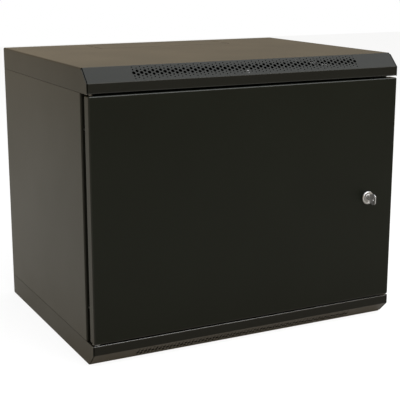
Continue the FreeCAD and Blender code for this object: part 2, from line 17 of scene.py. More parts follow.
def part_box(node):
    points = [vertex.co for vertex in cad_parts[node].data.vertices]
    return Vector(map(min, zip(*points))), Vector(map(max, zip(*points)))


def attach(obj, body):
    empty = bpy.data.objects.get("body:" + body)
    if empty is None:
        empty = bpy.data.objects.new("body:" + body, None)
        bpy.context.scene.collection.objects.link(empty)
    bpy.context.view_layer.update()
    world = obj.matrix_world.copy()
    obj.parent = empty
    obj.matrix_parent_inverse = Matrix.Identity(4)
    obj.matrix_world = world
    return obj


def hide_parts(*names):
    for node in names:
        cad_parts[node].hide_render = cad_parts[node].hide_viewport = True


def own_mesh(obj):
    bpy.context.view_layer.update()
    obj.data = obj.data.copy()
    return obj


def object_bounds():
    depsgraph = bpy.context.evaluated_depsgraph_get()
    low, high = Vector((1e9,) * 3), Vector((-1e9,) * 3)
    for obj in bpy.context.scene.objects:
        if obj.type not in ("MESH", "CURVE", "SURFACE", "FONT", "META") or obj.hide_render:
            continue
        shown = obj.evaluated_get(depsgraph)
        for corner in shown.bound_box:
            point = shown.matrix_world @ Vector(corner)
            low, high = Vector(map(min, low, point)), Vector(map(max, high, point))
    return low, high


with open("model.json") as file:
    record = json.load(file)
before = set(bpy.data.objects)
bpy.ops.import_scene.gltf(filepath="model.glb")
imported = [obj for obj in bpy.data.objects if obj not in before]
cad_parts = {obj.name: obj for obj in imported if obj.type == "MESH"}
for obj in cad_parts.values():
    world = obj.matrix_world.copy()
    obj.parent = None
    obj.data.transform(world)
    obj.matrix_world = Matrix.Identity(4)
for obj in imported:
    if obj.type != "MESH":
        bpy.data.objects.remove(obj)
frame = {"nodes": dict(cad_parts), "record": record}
cad_box = [list(corner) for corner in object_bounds()]
for plain in list(bpy.data.materials):
    bpy.data.materials.remove(plain)
mm = 0.001
print("cabinet box in metres:", cad_box)

# %% [markdown]
# ## Camera
#
# The product view looks at the cabinet from the left and a little from above, through a long lens, so that the
# upright edges stay nearly upright. A camera is easiest to steer by what it does: it aims at a point close to the
# middle of the cabinet and stands back from it at an azimuth and an elevation. Azimuth 0 looks along +Y.

# %% Camera
azimuth = math.radians(-26.908)
elevation = math.radians(13.350)
stand_off = 1.9267
aim = Vector((0.82, -249.9, -34.05)) * mm
back = Vector((
    math.sin(azimuth) * math.cos(elevation),
    -math.cos(azimuth) * math.cos(elevation),
    math.sin(elevation),
))
camera_data = bpy.data.cameras.new("camera")
camera_data.lens = 90.36
camera_data.sensor_width = 36.0
camera = bpy.data.objects.new("camera", camera_data)
camera.location = aim + stand_off * back
camera.rotation_euler = (math.pi / 2 - elevation, 0.0, azimuth)
bpy.context.scene.collection.objects.link(camera)
bpy.context.scene.camera = camera
print("camera at", tuple(round(v, 4) for v in camera.location))

# %% [markdown]
# ## Shader maths as arithmetic
#
# A finish is a small program made of nodes, and long chains of Math nodes are hard to read. `Wire` wraps one
# output of a node and answers to +, - and *, also with a plain number in front, so that a mask can be written as
# `1 - cloud * 0.3`. `Recipe` owns a tree of nodes, and its `node` method makes any other node from its type, its
# settings and what goes into its sockets. `Finish` is the recipe of one material.

# %% Wire and Finish


class Wire:
    """An output of a shader node that can be added, subtracted and multiplied."""

    def __init__(self, recipe, socket):
        self.recipe = recipe
        self.socket = socket

    def maths(self, operation, first, second):
        return self.recipe.node("Math", {"operation": operation}, {0: first, 1: second})

    def __add__(self, other):
        return self.maths("ADD", self, other)

    def __radd__(self, other):
        return self.maths("ADD", other, self)

    def __sub__(self, other):
        return self.maths("SUBTRACT", self, other)

    def __rsub__(self, other):
        return self.maths("SUBTRACT", other, self)

    def __mul__(self, other):
        return self.maths("MULTIPLY", self, other)

    def __rmul__(self, other):
        return self.maths("MULTIPLY", other, self)


class Recipe:
    """A node tree, and short ways to add to it."""

    def __init__(self, tree):
        self.tree = tree

    def node(self, kind, settings=None, inputs=None, output=0):
        made = self.tree.nodes.new("ShaderNode" + kind)
        for name, value in (settings or {}).items():
            setattr(made, name, value)
        for name, value in (inputs or {}).items():
            self.feed(made.inputs[name], value)
        return Wire(self, made.outputs[output])

    def feed(self, socket, value):
        if isinstance(value, Wire):
            self.tree.links.new(value.socket, socket)
        else:
            socket.default_value = value

    def colours(self, first, second, factor):
        """One colour fading into another. A colour is a wire or three numbers."""
        first, second = (end if isinstance(end, Wire) else (*end, 1.0) for end in (first, second))
        return self.node("Mix", {"data_type": "RGBA"}, {0: factor, 6: first, 7: second}, output=2)

    def fade(self, value, low, high, first=0.0, last=1.0):
        """first below low, last above high, and an even change between them."""
        return self.node("MapRange", None, {0: value, 1: low, 2: high, 3: first, 4: last})

    def absolute(self, value):
        return self.node("Math", {"operation": "ABSOLUTE"}, {0: value})

    def along(self, axis, vector):
        """One part of a vector: 0 for X, 1 for Y and 2 for Z."""
        return self.node("SeparateXYZ", None, {0: vector}, output=axis)

    def background_rays(self):
        """1 for the rays that should meet a white room: from the camera, or off or through a shiny piece."""
        camera_ray, glossy, through = (
            self.node("LightPath", output=name)
            for name in ("Is Camera Ray", "Is Glossy Ray", "Is Transmission Ray")
        )
        return self.node("Math", {"operation": "ADD", "use_clamp": True}, {0: camera_ray + glossy, 1: through})


class Finish(Recipe):
    """A material, its node tree and its surface shader."""

    def __init__(self, name):
        self.material = bpy.data.materials.new(name)
        self.material.use_nodes = True
        super().__init__(self.material.node_tree)
        self.surface = self.tree.nodes["Principled BSDF"]

    def set(self, **values):
        """Feeds the surface shader: base_color goes to Base Color, and so on."""
        for name, value in values.items():
            self.feed(self.surface.inputs[socket_names[name]], value)

    def place(self):
        """Where a point is on the cabinet, in metres. It stays with the piece when the piece moves."""
        return self.node("TexCoord", output="Object")

    def noise(self, size, detail=2.0, scale=(1.0, 1.0, 1.0), roughness=0.5):
        """Soft noise from 0 to 1 with blobs about size metres wide. A low scale stretches them along that axis."""
        vector = self.node("VectorMath", {"operation": "MULTIPLY"}, {0: self.place(), 1: scale})
        inputs = {"Vector": vector, "Scale": 1 / size, "Detail": detail, "Roughness": roughness}
        return self.node("TexNoise", None, inputs)

    def bump(self, height, depth, strength):
        """Tips the surface as if height, from 0 to 1, were depth metres high."""
        normal = self.node("Bump", None, {"Height": height, "Distance": depth, "Strength": strength})
        self.feed(self.surface.inputs["Normal"], normal)


socket_names = {
    "base_color": "Base Color",
    "roughness": "Roughness",
    "metallic": "Metallic",
    "specular": "Specular IOR Level",
    "specular_tint": "Specular Tint",
    "coat": "Coat Weight",
    "coat_roughness": "Coat Roughness",
}
print("shader helpers ready")

# %% [markdown]
# ## Powder coat
#
# Almost everything here is powder coated: black resin powder, baked until it flows. It never flows quite flat, so
# it keeps an orange peel of shallow dimples about two millimetres across, and a fine grain on top of that. The
# colour is nearly even, with a faint cloudiness. Two noises feed one Bump node, and a third varies the gloss.
# What makes black paint read as steel is its gloss at a low angle, so the sheen is left to the shader, and only
# its level is set. The paint is the same on every sheet, but the cover, the panels, the door and the frame are given
# different tones and glosses, each set so that the sheet comes out as bright as it shows under this light. They are
# lit and shaded copies of one paint, with painted light and shade in their tones, and the side panels are painted
# lighter than the covers. One function makes them all from a tone and a gloss. Powder runs smooth where it melts
# round a tight bend, so the folds round the front of the covers and the door carry a thin glossy coat, which is what
# draws the fine pale lines round the door.

# %% Powder coat
paint_sheen = (1.0, 0.97, 0.90, 1.0)
fold_size = 2.4 * mm


def fold_shine(finish, inset, depth, level):
    """A coat on folds, from a point's distance inside the edge and behind the front: most in a fold's middle."""
    near_edge, near_front = (finish.fade(distance, 0.0, fold_size, 1.0, 0.0) for distance in (inset, depth))
    finish.set(coat=2 * level * near_edge * near_front, coat_roughness=0.25)


def powder_coat(name, tone, gloss, specular):
    finish = Finish(name)
    cloud = finish.noise(0.12, detail=3.0)
    peel = finish.noise(2.2 * mm, detail=1.0)
    grain = finish.noise(0.55 * mm, detail=2.0)
    lighter = tuple(1.5 * channel for channel in tone)
    finish.set(
        base_color=finish.colours(tone, lighter, cloud),
        roughness=gloss - 0.05 + 0.07 * cloud + 0.04 * grain,
        specular=specular,
        specular_tint=paint_sheen,
    )
    finish.bump(peel * 0.7 + grain * 0.3, 0.03 * mm, 0.6)
    return finish


# The tones below are painted light and shade on one black paint. Each sheet's tone is set so that it comes out as
# bright as it shows here, and the side panels are lighter than the covers and the door.
painted = {
    name: powder_coat(name, tone, gloss, specular)
    for name, tone, gloss, specular in (
        ("cover_paint", (0.0012, 0.0015, 0.0010), 0.40, 0.137),
        ("panel_paint", (0.0040, 0.0040, 0.0028), 0.41, 0.157),
        ("door_paint", (0.0013, 0.0019, 0.0010), 0.37, 0.107),
        ("frame_paint", (0.0072, 0.0068, 0.0062), 0.48, 0.24),
        ("rail_paint", (0.0090, 0.0088, 0.0082), 0.38, 0.30),
    )
}
cover_low, cover_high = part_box("top_cover")
door_low, door_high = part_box("front_door")

coat = painted["cover_paint"]
x, y, z = (coat.along(axis, coat.place()) for axis in range(3))
fold_shine(coat, coat.absolute(z) - cover_low.z, y - cover_low.y, 0.82)

coat = painted["door_paint"]
x, y, z = (coat.along(axis, coat.place()) for axis in range(3))
to_edges = {0: door_high.x - coat.absolute(x), 1: door_high.z - coat.absolute(z)}
fold_shine(coat, coat.node("Math", {"operation": "MINIMUM"}, to_edges), y - door_low.y, 0.23)

finishes = {name: finish.material for name, finish in painted.items()}
print("painted finishes:", sorted(finishes))

# %% [markdown]
# ## Bare and plated metal, rubber and nylon
#
# The fasteners are zinc plated: a cool grey metal, cloudy and a little matt. The hinge pins and the spring are
# drawn steel wire, so fine streaks run along them. The lock is chrome on a turned zinc casting, and the key is
# nickel plated brass with the scratches of a key ring. Each is a metal in the shader, with its pattern in the
# roughness and in a shallow bump. The rubber and the nylon are plain moulded stuff, matt and faintly mottled.

# %% Metals, rubber and nylon


def metal(name, dark, light, cloud, fine, gloss, depth, strength=0.5, metallic=1.0, streaked=False):
    """A metal. cloud and fine are the settings of its two noises, and gloss is a level and a share of each."""
    finish = Finish(name)
    cloud, fine = finish.noise(**cloud), finish.noise(**fine)
    level, cloud_share, fine_share = gloss
    finish.set(
        base_color=finish.colours(dark, light, fine if streaked else cloud),
        metallic=metallic,
        roughness=level + cloud_share * cloud + fine_share * fine,
    )
    finish.bump(fine, depth, strength)
    return finish.material


def moulded(name, dark, light, gloss, depth):
    finish = Finish(name)
    mottle = finish.noise(1.5 * mm, detail=3.0)
    finish.set(base_color=finish.colours(dark, light, mottle), roughness=gloss + 0.12 * mottle)
    finish.bump(mottle, depth, 0.7)
    return finish.material


finishes["zinc_plate"] = metal(
    "zinc_plate", (0.47, 0.49, 0.51), (0.68, 0.69, 0.69),
    cloud={"size": 4 * mm, "detail": 4.0, "roughness": 0.65},
    fine={"size": 0.4 * mm},
    gloss=(0.26, 0.22, 0.08), depth=0.02 * mm,
)
finishes["pin_steel"] = metal(
    "pin_steel", (0.10, 0.10, 0.105), (0.20, 0.20, 0.20),
    cloud={"size": 6 * mm},
    fine={"size": 0.3 * mm, "detail": 3.0, "scale": (1.0, 1.0, 0.04)},
    gloss=(0.22, 0.08, 0.15), depth=0.02 * mm, streaked=True,
)
finishes["lock_chrome"] = metal(
    "lock_chrome", (0.25, 0.25, 0.25), (0.33, 0.33, 0.33),
    cloud={"size": 5 * mm, "detail": 3.0},
    fine={"size": 0.25 * mm, "scale": (1.0, 1.0, 0.12)},
    gloss=(0.36, 0.10, 0.06), depth=0.01 * mm, strength=0.4,
)
finishes["key_nickel"] = metal(
    "key_nickel", (0.20, 0.20, 0.20), (0.30, 0.30, 0.30),
    cloud={"size": 4 * mm},
    fine={"size": 0.3 * mm, "detail": 3.0, "scale": (1.0, 0.08, 1.0)},
    gloss=(0.38, 0.0, 0.14), depth=0.02 * mm, metallic=0.8,
)
finishes["buffer_rubber"] = moulded("buffer_rubber", (0.012, 0.012, 0.012), (0.03, 0.03, 0.03), 0.68, 0.08 * mm)
finishes["washer_nylon"] = moulded("washer_nylon", (0.20, 0.20, 0.19), (0.28, 0.28, 0.27), 0.44, 0.02 * mm)
print("all finishes:", sorted(finishes))

# %% [markdown]
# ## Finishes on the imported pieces
#
# The record says which slot each node takes its finish from, so one loop dresses them all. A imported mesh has
# perfectly sharp edges, and a real stamped edge never is, so each node also gets three modifiers: Weld joins the
# corners that the file keeps apart, Bevel takes a fifth of a millimetre off the sharp edges, and Weighted Normal
# keeps the large faces looking flat. They change what is drawn, and leave the mesh as it is.

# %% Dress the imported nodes
edge_break = 0.18 * mm
for subpart in frame["record"]["subparts"]:
    node = frame["nodes"][subpart["node"]]
    node.data.materials.clear()
    node.data.materials.append(finishes[subpart["material_slot"]])
    weld = node.modifiers.new("weld", "WELD")
    weld.merge_threshold = 0.002 * mm
    bevel = node.modifiers.new("bevel", "BEVEL")
    bevel.width = edge_break
    bevel.segments = 1
    bevel.limit_method = "ANGLE"
    bevel.angle_limit = math.radians(40)
    node.modifiers.new("normals", "WEIGHTED_NORMAL").keep_sharp = True
print(len(frame["nodes"]), "packed nodes dressed")

# %% [markdown]
# ## Folding sheet metal
#
# Every sheet here starts as a flat blank and is folded in a press, so each fold is a round bend and the sheet is
# equally thick everywhere. A line of corners, drawn in section, says where the folds are. `bends` rounds each
# corner with an arc, `drawn` pushes the rounded line along its length into a skin without thickness, `plate` lays
# out a flat part as a grid in which cells can stay open or hold a round hole, and `sheet_piece` gives the skin
# its thickness with Solidify. Thickening last is what keeps the wall even round a bend, and laying out the holes
# in the grid gives a cleaner mesh than cutting them with a Boolean.

# %% Sheet helpers
bend_radius = 2.4 * mm
bend_steps = 5
ring_steps = 16


def bends(corners):
    """An arc, as a list of flat points, for each inner corner of a line of flat points."""
    arcs = []
    for before, corner, after in zip(corners, corners[1:], corners[2:]):
        corner = Vector(corner)
        towards = (Vector(before) - corner).normalized()
        onward = (Vector(after) - corner).normalized()
        half_angle = towards.angle(onward) / 2
        centre = corner + (towards + onward).normalized() * bend_radius / math.sin(half_angle)
        start = corner + towards * bend_radius / math.tan(half_angle) - centre
        end = corner + onward * bend_radius / math.tan(half_angle) - centre
        first = math.atan2(start.y, start.x)
        turn = math.remainder(math.atan2(end.y, end.x) - first, 2 * math.pi)
        angles = [first + turn * step / bend_steps for step in range(bend_steps + 1)]
        arcs.append([(centre.x + bend_radius * math.cos(a), centre.y + bend_radius * math.sin(a)) for a in angles])
    return arcs


def drawn(shape, line, stations, at):
    """A skin of quads: the line of flat points repeated at each station along its length."""
    rows = [[shape.verts.new(at(*point, station)) for point in line] for station in stations]
    for first, second in zip(rows, rows[1:]):
        for k in range(len(line) - 1):
            shape.faces.new((first[k], first[k + 1], second[k + 1], second[k]))


def polygon(shape, points):
    shape.faces.new([shape.verts.new(point) for point in points])


def ring_in(shape, outline, centre, radius, at):
    """Faces between a round hole and the flat outline round it, which runs the same way as the hole's ring."""
    angles = [2 * math.pi * step / ring_steps for step in range(ring_steps)]
    ring = [shape.verts.new(at(centre[0] + radius * math.cos(a), centre[1] + radius * math.sin(a))) for a in angles]
    corners = [shape.verts.new(at(*point)) for point in outline]
    bearings = [math.atan2(b - centre[1], a - centre[0]) for a, b in outline]
    nearest = [round(bearing / (2 * math.pi) * ring_steps) % ring_steps for bearing in bearings]
    for k, corner in enumerate(corners):
        following = (k + 1) % len(corners)
        steps = (nearest[following] - nearest[k]) % ring_steps
        arc = [ring[(nearest[k] + step) % ring_steps] for step in range(steps + 1)]
        shape.faces.new([corners[following], corner] + arc)


def plate(shape, across, along, at, gaps=(), holes=()):
    """A flat grid. gaps are open cells, and holes are (centre, radius) of round holes inside one cell each."""
    for i, (left, right) in enumerate(zip(across, across[1:])):
        for j, (low, high) in enumerate(zip(along, along[1:])):
            outline = [(left, low), (right, low), (right, high), (left, high)]
            inside = [hole for hole in holes if left < hole[0][0] < right and low < hole[0][1] < high]
            if inside:
                ring_in(shape, outline, *inside[0], at)
            elif (i, j) not in gaps:
                polygon(shape, [at(*point) for point in outline])


def rounded_corner(shape, centre, signs, far):
    """A welded and ground corner of a pan: an eighth of a ball with a quarter of a round column behind it.

    centre is the ball's, signs say which way the corner points, and far is where the column ends, as an axis and a
    level.
    """
    axis, level = far
    first, second = [k for k in range(3) if k != axis]
    grid = []
    for i in range(bend_steps + 1):
        lift = math.pi / 2 * i / bend_steps
        row = []
        for j in range(bend_steps + 1):
            turn = math.pi / 2 * j / bend_steps
            point = list(centre)
            point[axis] += signs[axis] * bend_radius * math.sin(lift)
            point[first] += signs[first] * bend_radius * math.cos(lift) * math.cos(turn)
            point[second] += signs[second] * bend_radius * math.cos(lift) * math.sin(turn)
            row.append(point)
        grid.append(row)
    foot = []
    for point in grid[0]:
        end = list(point)
        end[axis] = level
        foot.append(end)
    for low, high in zip([foot] + grid, grid):
        for k in range(bend_steps):
            corners = [low[k], low[k + 1], high[k + 1], high[k]]
            polygon(shape, corners if high is not grid[-1] else corners[:3])


print("sheet helpers ready")

# %% [markdown]
# ## From a mesh to a piece
#
# A shape is drawn in bmesh, becomes an object, and takes its modifiers into its own mesh. `combine` cuts a closed
# shape out of an object or joins it on, and `break_edges` takes off the sharp edges as deburring does. `finished`
# shades and dresses a piece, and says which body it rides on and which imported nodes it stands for.

# %% From a mesh to a piece
smooth_below = math.radians(35)


def new_object(name, shape):
    data = bpy.data.meshes.new(name)
    shape.to_mesh(data)
    shape.free()
    made = bpy.data.objects.new(name, data)
    bpy.context.scene.collection.objects.link(made)
    return made


def apply_modifiers(made):
    """Makes the modifiers' result the object's own mesh."""
    graph = bpy.context.evaluated_depsgraph_get()
    final = bpy.data.meshes.new_from_object(made.evaluated_get(graph))
    made.modifiers.clear()
    made.data = final


def combine(made, other, operation="DIFFERENCE"):
    """Cuts a closed shape out of an object, or joins it on."""
    tool = new_object("tool", other)
    boolean = made.modifiers.new("combine", "BOOLEAN")
    boolean.operation = operation
    boolean.solver = "EXACT"
    boolean.object = tool
    apply_modifiers(made)
    bpy.data.objects.remove(tool)


def break_edges(made, width, shortest=3.0 * mm):
    """Bevels the sharp edges that are longer than shortest, as deburring does."""
    shape = bmesh.new()
    shape.from_mesh(made.data)
    sharp = [
        edge for edge in shape.edges
        if edge.is_manifold and edge.calc_length() > shortest and edge.calc_face_angle() > math.radians(50)
    ]
    bmesh.ops.bevel(shape, geom=sharp, offset=width, segments=1, affect="EDGES", clamp_overlap=True)
    shape.to_mesh(made.data)
    shape.free()


def finished(made, body, slot, *nodes):
    """Shades and dresses a piece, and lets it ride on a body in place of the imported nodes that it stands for."""
    made.data.shade_smooth()
    made.data.set_sharp_from_angle(angle=smooth_below)
    made.modifiers.new("normals", "WEIGHTED_NORMAL").keep_sharp = True
    made.data.materials.clear()
    made.data.materials.append(finishes[slot])
    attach(made, body)
    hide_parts(*nodes)
    print(made.name, "rides on", body, "with", len(made.data.polygons), "faces")
    return made


def sheet_piece(name, shape, thickness, outward):
    """Thickens a skin towards its inside. outward is the way that its largest face looks."""
    bmesh.ops.remove_doubles(shape, verts=shape.verts, dist=0.01 * mm)
    bmesh.ops.recalc_face_normals(shape, faces=shape.faces)
    widest = max(shape.faces, key=lambda face: face.calc_area())
    if widest.normal.dot(Vector(outward)) < 0:
        bmesh.ops.reverse_faces(shape, faces=shape.faces)
    made = new_object(name, shape)
    solidify = made.modifiers.new("thickness", "SOLIDIFY")
    solidify.thickness = thickness
    solidify.offset = -1.0
    solidify.use_even_offset = True
    apply_modifiers(made)
    break_edges(made, 0.15 * mm)
    return made


print("piece helpers ready")

# %% [markdown]
# ## The perforated slope
#
# Air leaves the cabinet through a field of punched holes in the slope at the front of each cover. The rows are
# staggered, and the holes of the three middle rows are larger, so the field reads as a dark band with a fading
# border. Cutting nearly six hundred holes with a Boolean is slow and leaves a messy mesh. Here the slope is laid
# out in cells instead, one round each hole. In every other column the holes sit between those of its neighbours,
# so a cell also has a corner halfway up each side, where the cells next to it meet.

# %% Vent field sizes
vent_pitch = 13.82 * mm
vent_columns = 32
vent_middle = 15.65 * mm
vent_offsets = [offset * mm for offset in (-11.9, -9.3, -6.6, -3.65, 0.0, 3.65, 6.6, 9.3, 11.9)]
vent_diameters = [diameter * mm for diameter in (2.2, 2.5, 2.9, 5.3, 6.2, 5.3, 2.9, 2.5, 2.2)]
vent_margin = 1.9 * mm
print("holes in one cover:", sum(vent_columns - row % 2 for row in range(len(vent_offsets))))

# %% Vent field


def vent_slope(shape, across, start, end, at):
    """The slope as one sheet. Flat points are (across, down the slope) and across holds the edge's own points."""
    rows = [vent_middle + offset for offset in vent_offsets]
    levels = [rows[0] - vent_margin] + rows + [rows[-1] + vent_margin]
    step = vent_pitch / 2
    columns = 2 * vent_columns - 1
    edges = [(column - columns / 2) * step for column in range(columns + 1)]
    limits = [[levels[0]] + levels[2 + odd:-2:2] + [levels[-1]] for odd in (0, 1)]
    for column, (left, right) in enumerate(zip(edges, edges[1:])):
        own, other = limits[column % 2], limits[1 - column % 2]
        holes = rows[column % 2::2]
        sizes = vent_diameters[column % 2::2]
        for top, foot, hole, size in zip(own, own[1:], holes, sizes):
            between = [level for level in other if top < level < foot]
            outline = [(left, top), (right, top)] + [(right, level) for level in between]
            outline += [(right, foot), (left, foot)] + [(left, level) for level in between[::-1]]
            ring_in(shape, outline, ((left + right) / 2, hole), size / 2, at)
    side_levels = sorted(set(limits[0]) | set(limits[1]))
    for side, outer in ((-1, across[0]), (1, across[-1])):
        rim = [at(side * edges[-1], level) for level in side_levels]
        polygon(shape, [at(outer, side_levels[0])] + rim + [at(outer, side_levels[-1])])
    for border, inner in ((start, levels[0]), (end, levels[-1])):
        field_side = [at(x, inner) for x in [across[0]] + edges + [across[-1]]]
        polygon(shape, [at(x, border) for x in across] + field_side[::-1])


print("vent helper ready")

# %% [markdown]
# ## The two covers
#
# Each cover is a tray folded down on all sides. At the front it goes down a slope, then a lip, and turns back
# under the lip, which is where the upper hinge pin has its hole. The folded sides end in a cheek that lies flush
# with the slope, with a hair of a slit where the two blanks meet. At the rear the corners are welded and ground
# round. A knock-out for cables is outlined by eight slits in the flat of the cover. The bottom cover is the same
# tray upside down, so one function makes both, with `up` turning the heights over.

# %% Cover sizes
half_width = cover_high.x
half_height = cover_high.z
cover_edge = cover_low.z
front = cover_low.y
sheet = 1.2 * mm
chamfer_run = 23.4 * mm
chamfer_drop = 23.2 * mm
cover_return = 28.0 * mm
crease = front + chamfer_run
pin_low, pin_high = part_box("lower_hinge_pin")
hinge_x = (pin_low.x + pin_high.x) / 2
hinge_y = (pin_low.y + pin_high.y) / 2
pin_hole = 3.08 * mm
pin_cell = 5.0 * mm
knockout_x = (138.5 * mm, 140.0 * mm)
knockout_y = (-30.0 * mm, -31.5 * mm, -106.5 * mm, -108.0 * mm)
knockout_tab = 4.0 * mm
print("cover edge at", round(cover_edge, 4), "and front at", round(front, 4))

# %% Cover


def cover(name, up):
    """A cover. up is 1 for the top one and -1 for the one at the foot."""
    shape = bmesh.new()
    corners = [(0, cover_edge), (0, half_height), (crease, half_height), (front, half_height - chamfer_drop)]
    corners += [(front, cover_edge), (front + cover_return, cover_edge)]
    rear, upper, lower, foot = bends(corners)
    crown = bends([(0, half_height), (half_width, half_height), (half_width, cover_edge)])[0]
    flat_end = half_width - bend_radius
    tab_y = sum(knockout_y[1:3]) / 2
    across = [-flat_end, hinge_x - pin_cell, hinge_x + pin_cell, -knockout_x[1], -knockout_x[0], -knockout_tab]
    across += [knockout_tab, *knockout_x, flat_end]
    along = [rear[-1][0], *knockout_y[:2], tab_y + knockout_tab, tab_y - knockout_tab, *knockout_y[2:], upper[0][0]]
    slits = {(i, j) for i in (3, 4, 6, 7) for j in (1, 5)} | {(i, j) for i in (3, 7) for j in (1, 2, 4, 5)}

    def on_section(y, z, x):
        return (x, y, up * z)

    def on_slope(x, down):
        share = down / math.hypot(chamfer_run, chamfer_drop)
        return (x, crease - chamfer_run * share, up * (half_height - chamfer_drop * share))

    drawn(shape, corners[:1] + rear, across, on_section)
    plate(shape, across, along, lambda x, y: (x, y, up * half_height), gaps=slits)
    drawn(shape, upper, across, on_section)
    start = math.dist(upper[-1], corners[2])
    end = math.dist(lower[0], corners[2])
    vent_slope(shape, across, start, end, on_slope)
    drawn(shape, lower + foot, across, on_section)
    hinge_hole = ((hinge_x, hinge_y), pin_hole)
    under_lip = [foot[-1][0], front + cover_return]
    plate(shape, across, under_lip, lambda x, y: (x, y, up * cover_edge), holes=[hinge_hole])

    cheek_y = crease - bend_radius * chamfer_run / chamfer_drop
    cheek = [(along[-1], cover_edge), (along[-1], half_height - bend_radius), (cheek_y, half_height - bend_radius)]
    cheek += corners[3:5]
    for side in (-1, 1):
        drawn(shape, crown + [(half_width, cover_edge)], along, lambda x, z, y: (side * x, y, up * z))
        polygon(shape, [(side * half_width, y, up * z) for y, z in cheek])
        centre = (side * flat_end, -bend_radius, up * (half_height - bend_radius))
        rounded_corner(shape, centre, (side, 1, up), (2, up * cover_edge))
    return sheet_piece(name, shape, sheet, (0, 0, up))


finished(cover("top_cover_shell", 1), "cabinet", "cover_paint", "top_cover")
finished(cover("bottom_cover_shell", -1), "cabinet", "cover_paint", "bottom_cover")

# %% [markdown]
# ## Side panels
#
# A side panel is a plain sheet with a return folded in at the door and another at the wall, and two screws go
# through each return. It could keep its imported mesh, but this large calm surface sits right beside the camera, so
# it is folded again with finer bends and round screw holes.

# %% Side panels
panel_low, panel_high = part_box("left_side_panel")
panel_front = panel_low.y
panel_end = panel_high.z
screw_x = half_width - 6.6 * mm
screw_z = 150.0 * mm
screw_hole = 1.9 * mm
screw_cell = 4.0 * mm
panel_return = 12.0 * mm


def side_panel(name, side):
    shape = bmesh.new()
    inner = half_width - panel_return
    rear, fore = bends([(inner, 0), (half_width, 0), (half_width, panel_front), (inner, panel_front)])
    screw_levels = [z + edge for z in (-screw_z, screw_z) for edge in (-screw_cell, screw_cell)]
    levels = [-panel_end, *screw_levels, panel_end]
    drawn(shape, rear + fore, levels, lambda x, y, z: (side * x, y, z))
    screws = [((screw_x, z), screw_hole) for z in (-screw_z, screw_z)]
    for y in (0, panel_front):
        plate(shape, [inner, rear[0][0]], levels, lambda x, z: (side * x, y, z), holes=screws)
    return sheet_piece(name, shape, sheet, (side, 0, 0))


finished(side_panel("left_panel_shell", -1), "cabinet", "panel_paint", "left_side_panel")
finished(side_panel("right_panel_shell", 1), "cabinet", "panel_paint", "right_side_panel")

# %% [markdown]
# ## The door
#
# The door is a shallow pan. Its four sides are folded back, its front corners are welded and ground round, and the
# two upright sides are folded once more into a lip that stiffens them. It has one round hole for the lock and a
# small one above and below for the hinge pins.

# %% Door
door_right = door_high.x
door_top = door_high.z
door_front = door_low.y
door_back = door_high.y
lock_low, lock_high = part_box("lock_body")
lock_x = (lock_low.x + lock_high.x) / 2
lock_z = (lock_low.z + lock_high.z) / 2
lock_hole_radius = 9.8 * mm
lock_cell = 15.0 * mm
door_pin_cell = 4.5 * mm
door_lip = 12.0 * mm


def door_pan():
    shape = bmesh.new()
    flat_x = door_right - bend_radius
    flat_z = door_top - bend_radius
    across = [-flat_x, hinge_x - door_pin_cell, hinge_x + door_pin_cell]
    across += [lock_x - lock_cell, lock_x + lock_cell, flat_x]
    levels = [-flat_z, lock_z - lock_cell, lock_z + lock_cell, flat_z]
    lock_hole = ((lock_x, lock_z), lock_hole_radius)
    plate(shape, across, levels, lambda x, z: (x, door_front, z), holes=[lock_hole])
    lip = door_right - door_lip
    edge, turn = bends([(0, door_front), (door_right, door_front), (door_right, door_back), (lip, door_back)])
    brow = bends([(door_front, 0), (door_front, door_top), (door_back, door_top)])[0]
    depths = [edge[-1][1], turn[0][1], door_back]
    hinge_hole = ((hinge_x, hinge_y), pin_hole)
    for side in (-1, 1):
        drawn(shape, edge + turn + [(lip, door_back)], levels, lambda x, y, z: (side * x, y, z))
        drawn(shape, brow, across, lambda y, z, x: (x, y, side * z))
        plate(shape, across, depths, lambda x, y: (x, y, side * door_top), holes=[hinge_hole])
        for up in (-1, 1):
            centre = (side * flat_x, door_front + bend_radius, up * flat_z)
            rounded_corner(shape, centre, (side, -1, up), (1, depths[1]))
    return sheet_piece("door_pan", shape, sheet, (0, -1, 0))


finished(door_pan(), "door", "door_paint", "front_door")

# %% [markdown]
# ## Turned, threaded and six-sided parts
#
# The small parts come off a lathe. Each one has an axis, and `at` says where a point beside that axis and a depth
# along it lie on the cabinet. `turned` spins a profile of (radius, depth) points round the axis. `screw_thread`
# lays a line of crests and a line of roots round it as a helix, and lets both run out onto a plain ring at each
# end, which is where a turned end joins it without a seam. `hexagonal` is a nut or a bolt's head: its corners are
# turned down at thirty degrees, which gives each flat its curved upper edge. `slab` is a flat outline with a
# thickness. Every closed shape is checked for its direction by `solid`.

# %% Lathe helpers
round_steps = 48
round_angles = [2 * math.pi * step / round_steps for step in range(round_steps)]


def hoop(radius, depth, at):
    """A ring of points."""
    return [at(radius * math.cos(a), radius * math.sin(a), depth) for a in round_angles]


def stacked(shape, hoops):
    """Quads between rings of points."""
    rows = [[shape.verts.new(point) for point in points] for points in hoops]
    for first, second in zip(rows, rows[1:]):
        for k in range(round_steps):
            shape.faces.new((first[k - 1], first[k], second[k], second[k - 1]))


def turned(shape, profile, at):
    """A surface of revolution. It is closed when the profile starts and ends on the axis or in one point."""
    stacked(shape, [hoop(radius, depth, at) for radius, depth in profile])


